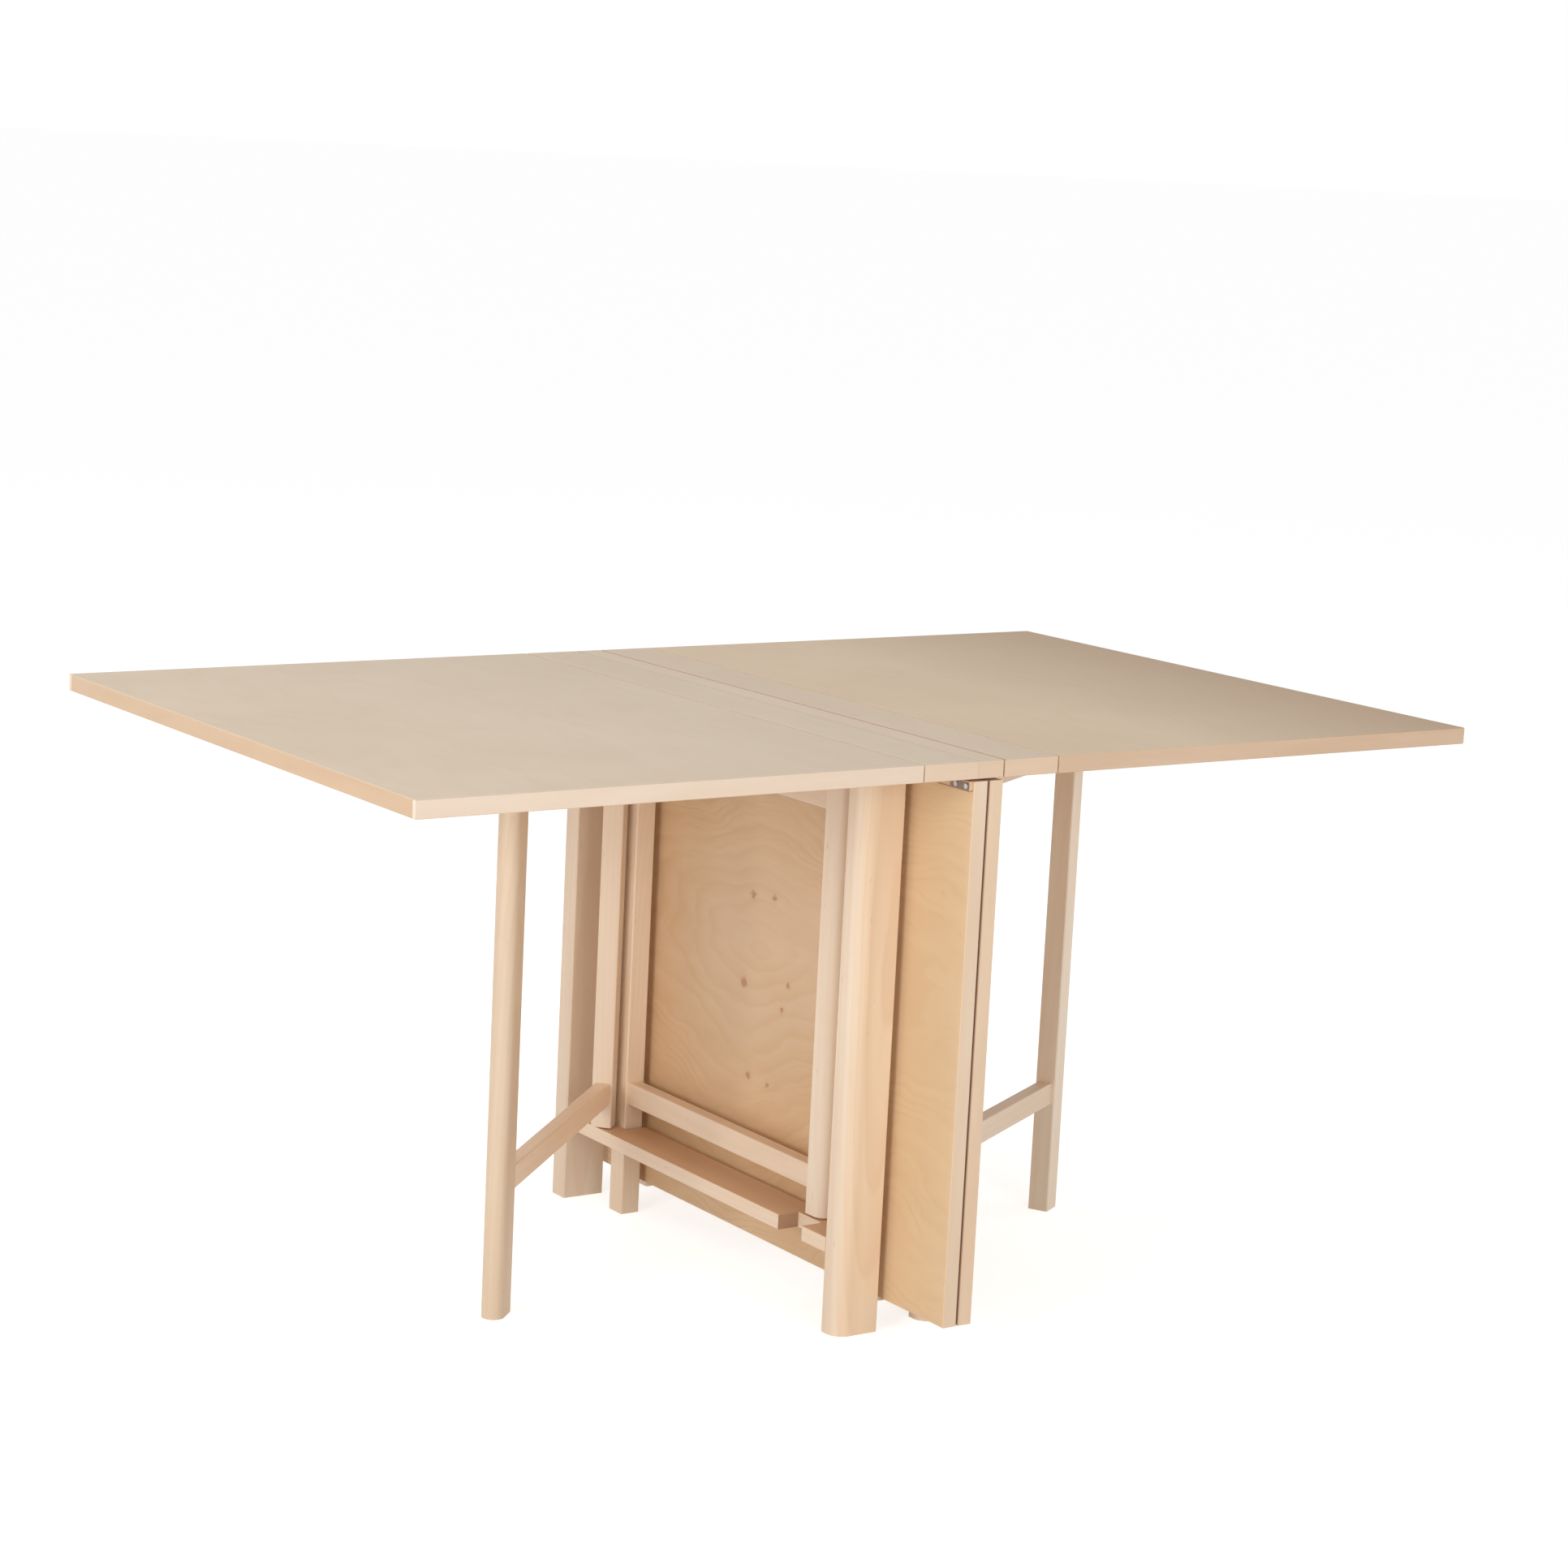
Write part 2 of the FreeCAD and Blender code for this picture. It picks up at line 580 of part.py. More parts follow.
def save_inner_leaves():
    cups = [cup for y in CONCEALED_Y for cup in concealed_cups(y)]
    screws = [screw for y in INNER_HINGE_Y for screw in leaf_screws(y)]
    core, strips = hanging_leaf(INNER_FACE_X, 1)
    save("inner_leaf_right", seated(core, cups + screws))
    save("inner_leaf_right_lipping", *[seated(strip, cups + screws) for strip in strips])
    driven = batten_screws(-1) + batten_screws(1)
    core, strips = hanging_leaf(INNER_FACE_X - 2 * INNER_T - INNER_GAP, -1)
    save("inner_leaf_left", seated(core, cups + driven))
    save("inner_leaf_left_lipping", *[seated(strip, cups + driven) for strip in strips])
    save("leaf_battens", *[seated(leaf_batten(side), driven) for side in (-1, 1)])
    save("leaf_batten_plates", *[seated(batten_plate(side), driven) for side in (-1, 1)])
    save("leaf_batten_screws", *driven)
    save("inner_hinge_leaf_plates", *[seated(leaf_plate(y), screws) for y in INNER_HINGE_Y])
    save("inner_hinge_leaf_screws", *screws)
    save("concealed_hinge_barrels", *cups)
    save("concealed_hinge_links", *[concealed_link(y) for y in CONCEALED_Y])


def save_half_frames():
    for name, place in (("left", lambda shape: shape), ("right", other_half)):
        front, back = (-1, 1) if name == "left" else (1, -1)
        save(name + "_front_leg", place(wide_leg(front)))
        save(name + "_back_leg", place(wide_leg(back)))
        save(name + "_bottom_plank", place(bottom_plank()))
        save(name + "_top_rail", place(top_rail()))


def main():
    os.makedirs("parts", exist_ok=True)
    screws = save_top()
    save_left_board(screws[-1])
    save_right_board(screws[1])
    save_inner_leaves()
    save_half_frames()
    (outer_x, outer_y), (inner_x, inner_y) = pivots()
    save_gate("left_outer_gate", outer_x, outer_y, -LEFT_OPEN, True)
    save_gate("left_inner_gate", inner_x, inner_y, 180, False)
    save_gate("right_outer_gate", -outer_x, -outer_y, 180 - RIGHT_OPEN, True)
    save_gate("right_inner_gate", -inner_x, -inner_y, 0, False)


main()
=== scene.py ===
import math
import bmesh
import bpy
from mathutils import Matrix, Quaternion, Vector


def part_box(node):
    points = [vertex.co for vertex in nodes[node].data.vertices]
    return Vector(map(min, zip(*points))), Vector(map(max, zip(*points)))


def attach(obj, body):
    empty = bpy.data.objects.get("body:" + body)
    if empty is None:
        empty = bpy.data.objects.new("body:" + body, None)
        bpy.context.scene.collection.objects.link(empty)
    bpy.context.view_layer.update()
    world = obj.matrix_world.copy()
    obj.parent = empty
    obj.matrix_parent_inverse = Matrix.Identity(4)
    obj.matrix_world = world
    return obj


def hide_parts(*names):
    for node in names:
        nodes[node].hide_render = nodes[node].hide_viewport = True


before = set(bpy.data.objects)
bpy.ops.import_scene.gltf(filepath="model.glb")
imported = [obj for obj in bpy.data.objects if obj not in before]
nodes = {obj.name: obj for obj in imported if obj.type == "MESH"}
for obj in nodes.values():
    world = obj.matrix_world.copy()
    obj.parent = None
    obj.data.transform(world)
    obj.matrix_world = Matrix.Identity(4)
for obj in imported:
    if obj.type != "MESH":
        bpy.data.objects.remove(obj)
scene = bpy.context.scene
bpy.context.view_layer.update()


# --- Floor and studio -----------------------------------------------------------------------
# A pale seamless floor, and a white surround that the camera, the steel and the lacquer see.
# The floor keeps the table's soft shadow.
FLOOR_RADIUS = 300
FLOOR_GREY = 0.80
FLOOR_GLOW = 0.65
SURROUND_LIGHT = 0.42


def worked_out(tree, operation, *values):
    """One step of arithmetic on sockets or numbers."""
    step = tree.nodes.new("ShaderNodeMath")
    step.operation = operation
    for place, value in enumerate(values):
        if isinstance(value, (int, float)):
            step.inputs[place].default_value = value
        else:
            tree.links.new(value, step.inputs[place])
    return step.outputs[0]


def ranged(tree, value, low, high, least=0.0, most=1.0):
    """Goes from the least to the most as a value goes from low to high, and stays between them."""
    share = tree.nodes.new("ShaderNodeMapRange")
    limits = (("From Min", low), ("From Max", high), ("To Min", least), ("To Max", most))
    for socket, limit in limits:
        share.inputs[socket].default_value = limit
    tree.links.new(value, share.inputs["Value"])
    return share.outputs[0]


def seen_mask(tree, kinds):
    """One where a ray is of one of the kinds, such as the camera's own."""
    rays = tree.nodes.new("ShaderNodeLightPath")
    mask = rays.outputs[kinds[0]]
    for kind in kinds[1:]:
        mask = worked_out(tree, "MAXIMUM", mask, rays.outputs[kind])
    return mask


bpy.ops.object.select_all(action="DESELECT")
bpy.ops.mesh.primitive_circle_add(
    vertices=96, radius=FLOOR_RADIUS, fill_type="NGON", location=(0, 0, 0))
floor = bpy.context.object
floor.name = "studio_floor"

floor_paint = bpy.data.materials.new("pale_floor")
floor_paint.use_nodes = True
tree = floor_paint.node_tree
tree.nodes.clear()
paint = tree.nodes.new("ShaderNodeBsdfDiffuse")
paint.inputs["Color"].default_value = (FLOOR_GREY, FLOOR_GREY, FLOOR_GREY, 1)
glow = tree.nodes.new("ShaderNodeEmission")
seen = seen_mask(tree, ("Is Camera Ray", "Is Glossy Ray"))
tree.links.new(worked_out(tree, "MULTIPLY", seen, FLOOR_GLOW), glow.inputs["Strength"])
both = tree.nodes.new("ShaderNodeAddShader")
out = tree.nodes.new("ShaderNodeOutputMaterial")
tree.links.new(paint.outputs[0], both.inputs[0])
tree.links.new(glow.outputs[0], both.inputs[1])
tree.links.new(both.outputs[0], out.inputs["Surface"])
floor.data.materials.append(floor_paint)

surround = bpy.data.worlds.new("white_surround")
scene.world = surround
surround.use_nodes = True
tree = surround.node_tree
tree.nodes.clear()
sky = tree.nodes.new("ShaderNodeBackground")
sky.inputs["Color"].default_value = (1, 1, 1, 1)
out = tree.nodes.new("ShaderNodeOutputWorld")
seen = seen_mask(tree, ("Is Camera Ray", "Is Glossy Ray", "Is Transmission Ray"))
tree.links.new(ranged(tree, seen, 0.0, 1.0, SURROUND_LIGHT), sky.inputs["Strength"])
tree.links.new(sky.outputs[0], out.inputs["Surface"])

# Six soft boxes: left end, front, a weak fill, one overhead, and two for the right end and back
for name, place, size, watts, aim in (
    ("side_softbox", (-4.6, -1.8, 1.4), 2.0, 82, (-0.1, 0, 0.40)),
    ("front_softbox", (-0.8, -5.2, 1.4), 2.4, 68, (-0.1, 0, 0.40)),
    ("fill_softbox", (2.6, -3.2, 1.1), 2.0, 5, (0, 0, 0.35)),
    ("top_softbox", (-1.5, 0.1, 2.7), 2.0, 24, (-0.3, 0, 0.7)),
    ("right_softbox", (4.6, -0.7, 1.2), 2.0, 29, (0, 0, 0.35)),
    ("back_softbox", (-2.2, 4.6, 1.2), 2.0, 34, (0, 0, 0.35)),
):
    bpy.ops.object.light_add(type="AREA", location=place)
    lamp = bpy.context.object
    lamp.name = name
    lamp.data.size = size
    lamp.data.energy = watts
    lamp.rotation_euler = (Vector(aim) - Vector(place)).to_track_quat("-Z", "Y").to_euler()


# --- Camera ---------------------------------------------------------------------------------
# It stands off the left front corner, a little lower than the eyes of a person who stands.
# It looks down on the top through a long lens, and is rolled slightly.
CAMERA_PLACE = Vector((-2.53152, -3.68020, 1.40594))
CAMERA_HEADING = math.radians(33.983)
CAMERA_DOWN = math.radians(10.082)
CAMERA_ROLL = math.radians(2.699)
CAMERA_LENS = 82.545
CAMERA_SENSOR = 36
CAMERA_SHIFT = 0.03

ahead = Vector((
    math.sin(CAMERA_HEADING) * math.cos(CAMERA_DOWN),
    math.cos(CAMERA_HEADING) * math.cos(CAMERA_DOWN),
    -math.sin(CAMERA_DOWN),
))
level_right = Vector((math.cos(CAMERA_HEADING), -math.sin(CAMERA_HEADING), 0))
level_up = level_right.cross(ahead)
right = level_right * math.cos(CAMERA_ROLL) + level_up * math.sin(CAMERA_ROLL)
up = level_up * math.cos(CAMERA_ROLL) - level_right * math.sin(CAMERA_ROLL)
bpy.ops.object.camera_add(location=CAMERA_PLACE)
camera = bpy.context.object
camera.data.lens = CAMERA_LENS
camera.data.sensor_width = CAMERA_SENSOR
camera.data.shift_x = CAMERA_SHIFT
camera.rotation_euler = Matrix((right, up, -ahead)).transposed().to_euler()
scene.camera = camera
scene.view_settings.view_transform = "Standard"


# --- Half frames: legs, bottom planks and top rails -------------------------------------------
# Each half stands on two wide legs, joined by a bottom plank and by a rail under the board. They
# are sawn birch, planed and clear lacquered. Growth rings cut by each face give faint arches, with
# fine fibre along the grain, slow changes of tone and, now and then, a short brown fleck.
def figure_group(name, numbers, results):
    """An empty group for a figure of wood, with the nodes at which it starts and ends."""
    group = bpy.data.node_groups.new(name, "ShaderNodeTree")
    face = group.interface
    face.new_socket(name="Vector", in_out="INPUT", socket_type="NodeSocketVector")
    for socket, value in numbers:
        made = face.new_socket(name=socket, in_out="INPUT", socket_type="NodeSocketFloat")
        made.default_value = value
    for socket in results:
        face.new_socket(name=socket, in_out="OUTPUT", socket_type="NodeSocketFloat")
    return group, group.nodes.new("NodeGroupInput"), group.nodes.new("NodeGroupOutput")


def moved(tree, operation, *values):
    """One step of arithmetic on positions, each a socket or three numbers."""
    step = tree.nodes.new("ShaderNodeVectorMath")
    step.operation = operation
    for place, value in enumerate(values):
        by_number = operation == "SCALE" and place == 1
        socket = step.inputs["Scale"] if by_number else step.inputs[place]
        if isinstance(value, (tuple, Vector)):
            socket.default_value = value
        else:
            tree.links.new(value, socket)
    return step.outputs["Value" if operation in ("LENGTH", "DISTANCE") else "Vector"]


def mottle(tree, place, stretch, detail, roughness=0.5, distortion=0.0, result="Fac"):
    """A noise over a position, stretched by a number for each direction."""
    made = tree.nodes.new("ShaderNodeTexNoise")
    made.inputs["Scale"].default_value = 1.0
    made.inputs["Detail"].default_value = detail
    made.inputs["Roughness"].default_value = roughness
    made.inputs["Distortion"].default_value = distortion
    tree.links.new(moved(tree, "MULTIPLY", place, stretch), made.inputs["Vector"])
    return made.outputs[result]


def banded(tree, value, stops):
    """A ramp from nothing through its stops, each a position and a level, and back to nothing."""
    ramp = tree.nodes.new("ShaderNodeValToRGB")
    for end in ramp.color_ramp.elements:
        end.color = (0, 0, 0, 1)
    for position, level in stops:
        stop = ramp.color_ramp.elements.new(position)
        stop.color = (level, level, level, 1)
    tree.links.new(value, ramp.inputs["Fac"])
    return ramp.outputs["Color"]


growth, inlet, outlet = figure_group(
    "birch_growth",
    (("Ring Spacing", 0.008), ("Wander", 0.02), ("Fibre Density", 900.0)),
    ("Rings", "Fibre", "Tone", "Flecks"),
)
GREY = (0.5, 0.5, 0.5)
log = inlet.outputs["Vector"]

# Rings: distance from a pith line that wanders slowly along the grain
drift = mottle(growth, log, (6.0, 6.0, 1.6), 3.0, result="Color")
sway = moved(growth, "SCALE", moved(growth, "SUBTRACT", drift, GREY), inlet.outputs["Wander"])
section = moved(growth, "MULTIPLY", moved(growth, "ADD", log, sway), (1, 1, 0.11))
radius = moved(growth, "LENGTH", section)
years = worked_out(growth, "DIVIDE", radius, inlet.outputs["Ring Spacing"])
latewood = ((0.45, 0.20), (0.80, 0.85), (0.90, 1.0))
rings = banded(growth, worked_out(growth, "FRACT", years), latewood)

# Fibre: hair-fine streaks along the grain. Tone: slow clouds of lighter and darker wood.
# Flecks: short brown dashes that birch has here and there.
hair = moved(growth, "SCALE", log, inlet.outputs["Fibre Density"])
dashes = mottle(growth, log, (360, 360, 40), 1.0)
for socket, value in (
    ("Rings", rings),
    ("Fibre", mottle(growth, hair, (1, 1, 0.022), 4.0, roughness=0.6)),
    ("Tone", mottle(growth, log, (26, 26, 3.2), 3.0)),
    ("Flecks", ranged(growth, dashes, 0.755, 0.82)),
):
    growth.links.new(value, outlet.inputs[socket])


def axes(tree, place):
    """The three parts of a position, by their letters."""
    parts = tree.nodes.new("ShaderNodeSeparateXYZ")
    tree.links.new(place, parts.inputs[0])
    return parts.outputs


def stained(tree, colour, mask, low, high, amount, tint):
    """Lays a tint over a colour as a mask goes from low to high. Either may be a socket."""
    stain = tree.nodes.new("ShaderNodeMix")
    stain.data_type = "RGBA"
    tree.links.new(ranged(tree, mask, low, high, most=amount), stain.inputs["Factor"])
    for socket, value in (("A", colour), ("B", tint)):
        if isinstance(value, tuple):
            stain.inputs[socket].default_value = (*value, 1)
        else:
            tree.links.new(value, stain.inputs[socket])
    return stain.outputs["Result"]


def new_finish(name):
    """An empty material, its tree, and the position on the piece."""
    material = bpy.data.materials.new(name)
    material.use_nodes = True
    place = material.node_tree.nodes.new("ShaderNodeTexCoord")
    return material, material.node_tree, place.outputs["Object"]


def grain_line(tree, place, along, pith):
    """The position seen from the pith, with the grain's direction turned to Z."""
    grain = tree.nodes.new("ShaderNodeMapping")
    turn = Vector(along).rotation_difference(Vector(UPRIGHT))
    grain.inputs["Rotation"].default_value = turn.to_euler()
    tree.links.new(moved(tree, "SUBTRACT", place, pith), grain.inputs["Vector"])
    return grain.outputs[0]


def birch_colour(tree, grain, light, dark, spacing=0.008, wander=0.03, contrast=0.34):
    """Colour and fibre of solid birch along a grain. The light and the dark may be sockets."""
    wood = tree.nodes.new("ShaderNodeGroup")
    wood.node_tree = growth
    wood.inputs["Ring Spacing"].default_value = spacing
    wood.inputs["Wander"].default_value = wander
    tree.links.new(grain, wood.inputs["Vector"])
    colour = light
    for result, low, high, amount, tint in (
        ("Tone", 0.36, 0.66, 0.65, dark),
        ("Rings", 0.0, 1.0, contrast, dark),
        ("Fibre", 0.40, 0.68, 0.13, dark),
        ("Flecks", 0.0, 1.0, 0.35, FLECK_BROWN),
    ):
        colour = stained(tree, colour, wood.outputs[result], low, high, amount, tint)
    return colour, wood.outputs["Fibre"]


def lacquered(tree, colour, fibre):
    """Satin clear lacquer over a wood colour, its sheen and relief broken by the fibre."""
    lacquer = tree.nodes["Principled BSDF"]
    tree.links.new(colour, lacquer.inputs["Base Color"])
    sheen = ranged(tree, fibre, 0.0, 1.0, *SATIN)
    tree.links.new(sheen, lacquer.inputs["Roughness"])
    relief = tree.nodes.new("ShaderNodeBump")
    relief.inputs["Strength"].default_value = FIBRE_RELIEF
    relief.inputs["Distance"].default_value = FIBRE_DEPTH
    tree.links.new(fibre, relief.inputs["Height"])
    tree.links.new(relief.outputs[0], lacquer.inputs["Normal"])


def dress(node, material):
    """Gives a CAD node its finish."""
    for place in nodes[node].material_slots:
        place.material = material


def notch_end_grain_and_shade(tree, place, colour, middle):
    """Darkens the sides of a board's two notches, opposite each other: partly the end grain's own
    colour, partly painted shade.
    """
    parts = axes(tree, place)
    off_middle = worked_out(tree, "SUBTRACT", parts["X"], middle)
    corner = worked_out(tree, "MULTIPLY", off_middle, parts["Y"])
    uncut = worked_out(tree, "LESS_THAN", corner, 0.0)
    along = worked_out(tree, "ABSOLUTE", parts["Y"])
    for side in NOTCH_SIDES:
        away = worked_out(tree, "ABSOLUTE", worked_out(tree, "SUBTRACT", along, side))
        away = worked_out(tree, "ADD", away, uncut)
        colour = stained(tree, colour, away, *NOTCH_END_SHADE_WITHIN, 0.9, NOTCH_END_GRAIN_AND_SHADE)
    return colour


UPRIGHT = (0, 0, 1)
ACROSS = (0, 1, 0)
SATIN = (0.40, 0.56)
FIBRE_RELIEF = 0.12
FIBRE_DEPTH = 0.0002
PALE_BIRCH = (0.87, 0.70, 0.54)
DEEP_BIRCH = (0.79, 0.585, 0.41)
FLECK_BROWN = (0.40, 0.22, 0.12)
# The notch sides' brown: end grain, made darker still by painted shade from the legs in front
NOTCH_END_GRAIN_AND_SHADE = (0.42, 0.23, 0.125)
NOTCH_SIDES = (0.202, 0.252)
NOTCH_END_SHADE_WITHIN = (0.0007, 0.0004)
PLANK_TOP_Z = (0.1172, 0.1178)
PLANK_TOP_SHADE = (0.70, 0.385, 0.185)
for node, along, pith, tone in (
    # The left back leg's lower tone is painted shade, for the shade it stands in behind the gates
    ("left_back_leg", UPRIGHT, (-0.070, 0.265, 0.25), 0.93),
    ("right_front_leg", UPRIGHT, (0.060, -0.375, 0.10), 1.0),
    ("right_back_leg", UPRIGHT, (0.075, 0.37, 0.70), 1.0),
    ("left_bottom_plank", ACROSS, (-0.075, 0.10, 0.155), 1.03),
    ("left_top_rail", ACROSS, (-0.055, -0.10, 0.63), 1.0),
    ("right_bottom_plank", ACROSS, (0.060, 0.20, 0.060), 1.0),
    ("right_top_rail", ACROSS, (0.050, -0.20, 0.75), 1.0),
):
    light = tuple(tone * share for share in PALE_BIRCH)
    dark = tuple(tone * share for share in DEEP_BIRCH)
    material, tree, place = new_finish("birch_" + node)
    grain = grain_line(tree, place, along, pith)
    colour, fibre = birch_colour(tree, grain, light, dark)
    if along == ACROSS:
        low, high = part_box(node)
        colour = notch_end_grain_and_shade(tree, place, colour, (low[0] + high[0]) / 2)
    # Painted shade: the planks' top faces are darkened brown for the shade of the gates, legs and
    # leaves above them
    if "plank" in node:
        height = axes(tree, place)["Z"]
        colour = stained(tree, colour, height, *PLANK_TOP_Z, 0.6, PLANK_TOP_SHADE)
    lacquered(tree, colour, fibre)
    dress(node, material)

# The left front leg: a paler painted sheen round its outer corner, where the side light falls, and
# warmer wood with arches beside it
PAINTED_SHEEN_X = (-0.093, -0.087)
material, tree, place = new_finish("birch_left_front_leg")
side = axes(tree, place)["X"]
light = stained(tree, (0.88, 0.73, 0.57), side, *PAINTED_SHEEN_X, 1.0, (0.88, 0.69, 0.495))
dark = stained(tree, (0.82, 0.64, 0.47), side, *PAINTED_SHEEN_X, 1.0, (0.80, 0.575, 0.385))
grain = grain_line(tree, place, UPRIGHT, (-0.048, -0.372, 0.50))
lacquered(tree, *birch_colour(tree, grain, light, dark, 0.0085, 0.035, 0.60))
dress("left_front_leg", material)


# --- Gates ------------------------------------------------------------------------------------
# Four swinging frames of solid birch: a hinge post, a leg, and a rail and stretcher tenoned
# between them. The posts and legs are upright in grain, the bars run along the gate.
LEFT_GATE_TURN = math.radians(47.6)
RIGHT_GATE_TURN = math.radians(60.5)
GATE_RING_SPACING = 0.007
# Lighter and darker copies of the birch for five gate pieces, partly painted light and shade: each
# is lightened or darkened for the light it gets
gate_tints_with_painted_light = {
    "left_outer_gate_leg": ((0.77, 0.615, 0.455), (0.70, 0.515, 0.355)),
    "left_outer_gate_post": ((0.83, 0.68, 0.53), (0.76, 0.57, 0.41)),
    "left_outer_gate_stretcher": ((0.95, 0.77, 0.59), (0.88, 0.66, 0.47)),
    "left_inner_gate_post": ((0.92, 0.78, 0.62), (0.85, 0.68, 0.51)),
    "right_outer_gate_leg": ((0.92, 0.77, 0.61), (0.85, 0.66, 0.48)),
}
gate_lines = {
    "left_outer_gate": (-math.sin(LEFT_GATE_TURN), -math.cos(LEFT_GATE_TURN), 0),
    "left_inner_gate": ACROSS,
    "right_outer_gate": (math.sin(RIGHT_GATE_TURN), math.cos(RIGHT_GATE_TURN), 0),
    "right_inner_gate": ACROSS,
}
for number, (gate, line) in enumerate(gate_lines.items()):
    for part, along, drop in (
        ("post", UPRIGHT, 0.1), ("leg", UPRIGHT, -0.2),
        ("stretcher", line, 0.03), ("rail", line, -0.04),
    ):
        node = gate + "_" + part
        low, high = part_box(node)
        middle = (Vector(low) + Vector(high)) / 2
        pith = middle + Vector((0.030 + 0.010 * number, -0.035 + 0.015 * number, drop))
        light, dark = gate_tints_with_painted_light.get(node, (PALE_BIRCH, DEEP_BIRCH))
        material, tree, place = new_finish("birch_" + node)
        grain = grain_line(tree, place, along, pith)
        lacquered(tree, *birch_colour(tree, grain, light, dark, GATE_RING_SPACING))
        dress(node, material)


# --- Veneered panels of the top ----------------------------------------------------------------
# Birch veneer laid across the table on the fixed boards and outer leaves. It was peeled from
# the log, so its figure is broad, wavy and faint. The lower faces have a warmer sheet.
peeled, inlet, outlet = figure_group(
    "peeled_figure",
    (("Spacing", 0.03), ("Swirl", 0.05), ("Swirl Reach", 0.14)),
    ("Contours", "Fine Lines", "Ripple", "Fibre", "Clouds", "Heart"),
)
peel = inlet.outputs["Vector"]

# Contours: height lines of the peel. X runs along the grain and Z across it. Round the centre
# they close to a swirl, and beyond its reach they run off along the grain.
parts = axes(peeled, peel)
oval_side = worked_out(peeled, "MULTIPLY", worked_out(peeled, "ABSOLUTE", parts["X"]), 0.62)
side = worked_out(peeled, "SMOOTH_MIN", oval_side, inlet.outputs["Swirl Reach"], 0.08)
square_side = worked_out(peeled, "MULTIPLY", side, side)
square_rise = worked_out(peeled, "MULTIPLY", parts["Z"], parts["Z"])
reach = worked_out(peeled, "POWER", worked_out(peeled, "ADD", square_side, square_rise), 0.5)
long_waves = worked_out(peeled, "MULTIPLY", mottle(peeled, peel, (3.0, 3.0, 4.2), 1.5), 1.6)
short_waves = worked_out(peeled, "MULTIPLY", mottle(peeled, peel, (10.0, 10.0, 22.0), 2.0), 0.36)
waves = worked_out(peeled, "ADD", long_waves, short_waves)
lift = worked_out(peeled, "MULTIPLY", waves, inlet.outputs["Swirl"])
height = worked_out(peeled, "ADD", reach, lift)
steps = worked_out(peeled, "DIVIDE", height, inlet.outputs["Spacing"])
contour = ((0.40, 0.30), (0.78, 1.0), (0.88, 0.65))
contours = banded(peeled, worked_out(peeled, "FRACT", steps), contour)
fading = ranged(peeled, mottle(peeled, peel, (7.0, 7.0, 7.0), 1.0), 0.34, 0.62, 0.15)

# Heart: the darker middle of the swirl. Fine lines run between the contours, outside it.
heart = ranged(peeled, reach, 0.20, 0.07)
heart.node.interpolation_type = "SMOOTHSTEP"
fine_steps = worked_out(peeled, "MULTIPLY", steps, 2.3)
fine_line = ((0.55, 0.12), (0.88, 1.0))
fine_lines = banded(peeled, worked_out(peeled, "FRACT", fine_steps), fine_line)
fine_fading = ranged(peeled, mottle(peeled, peel, (6.0, 6.0, 15.0), 2.0), 0.40, 0.62)
outside = worked_out(peeled, "SUBTRACT", 1.0, heart)
fine_fading = worked_out(peeled, "MULTIPLY", fine_fading, outside)
for socket, value in (
    ("Contours", worked_out(peeled, "MULTIPLY", contours, fading)),
    ("Fine Lines", worked_out(peeled, "MULTIPLY", fine_lines, fine_fading)),
    ("Ripple", mottle(peeled, peel, (9.0, 9.0, 38.0), 3.0, distortion=0.6)),
    ("Fibre", mottle(peeled, peel, (26.0, 1300.0, 1300.0), 3.0)),
    ("Clouds", mottle(peeled, peel, (3.4, 3.4, 3.4), 2.0)),
    ("Heart", heart),
):
    peeled.links.new(value, outlet.inputs[socket])


def sheet_colour(tree, place, sheet):
    """Colour and fibre of a panel's veneer: the fine sheet on its face, the knotty one behind."""
    parts = axes(tree, place)
    depth = parts[sheet["across"]]
    half_change = SHEET_CHANGE * sheet["facing"]
    change = (sheet["middle"] - half_change, sheet["middle"] + half_change)
    light = stained(tree, BACK_LIGHT, depth, *change, 1.0, sheet["light"])
    dark = stained(tree, BACK_DARK, depth, *change, 1.0, sheet["dark"])
    pulled = axes(tree, moved(tree, "SUBTRACT", place, sheet["centre"]))
    laid = tree.nodes.new("ShaderNodeCombineXYZ")
    for socket, source in zip(("X", "Y", "Z"), sheet["order"]):
        tree.links.new(pulled[source], laid.inputs[socket])
    figure = tree.nodes.new("ShaderNodeGroup")
    figure.node_tree = peeled
    figure.inputs["Spacing"].default_value = sheet["spacing"]
    figure.inputs["Swirl"].default_value = sheet["swirl"]
    tree.links.new(laid.outputs[0], figure.inputs["Vector"])
    colour = light
    for mask, low, high, amount, tint in (
        (figure.outputs["Clouds"], 0.36, 0.64, sheet["clouds"], dark),
        (figure.outputs["Heart"], 0.0, 1.0, sheet["heart"], BACK_HEART),
        (figure.outputs["Contours"], 0.0, 1.0, sheet["contours"], dark),
        (figure.outputs["Fine Lines"], 0.0, 1.0, sheet["lines"], dark),
        (figure.outputs["Ripple"], 0.40, 0.66, sheet["ripple"], dark),
        (figure.outputs["Fibre"], 0.40, 0.68, 0.13, dark),
        (parts["X"], *FAR_X, sheet["far"], FAR_PAINTED_SHADE),
        (parts["Y"], *NEAR_Y, sheet["near"], NEAR_PAINTED_LIGHT),
    ):
        if amount:
            colour = stained(tree, colour, mask, low, high, amount, tint)
    if sheet["knots"]:
        ragged = mottle(tree, place, KNOT_GRAIN, 2.0, result="Color")
        tear = moved(tree, "SUBTRACT", ragged, GREY)
        torn = moved(tree, "MULTIPLY_ADD", tear, KNOT_TEAR, place)
    for knot, size in sheet["knots"]:
        away = moved(tree, "DISTANCE", torn, knot)
        for outer, inner, amount, tint in KNOT_RINGS:
            colour = stained(tree, colour, away, size * outer, size * inner, amount, tint)
    return colour, figure.outputs["Fibre"]


